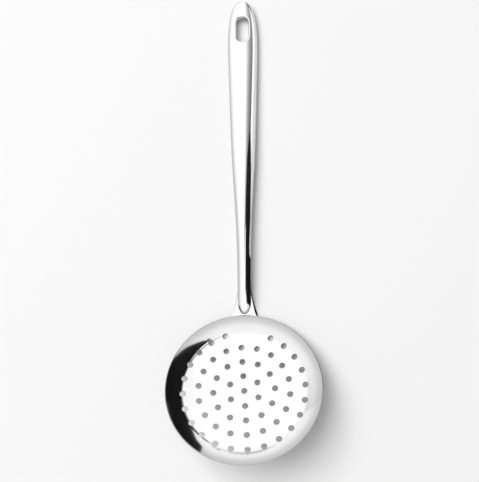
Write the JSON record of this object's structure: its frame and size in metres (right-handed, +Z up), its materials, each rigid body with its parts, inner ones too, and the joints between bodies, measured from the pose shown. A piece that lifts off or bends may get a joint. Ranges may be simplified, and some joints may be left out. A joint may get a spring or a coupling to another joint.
{
  "type": "skimmer",
  "caption": "Round perforated kitchen skimmer, a shallow steel dish with a flared rim on a long hollow handle with a hanging slot.",
  "frame": {"origin": "on the table under the middle of the whole skimmer's length and width", "axes": "+Y along the handle to its hanging end, +Z up from the table, +X to the right when the dish is nearest"},
  "size_m": [0.116, 0.362, 0.0481],
  "materials": {
    "dish_steel": "mirror polished",
    "handle_steel": "mirror polished"
  },
  "bodies": {
    "root": {"strainer_dish": "dish_steel", "handle": "handle_steel"}
  },
  "joints": []
}
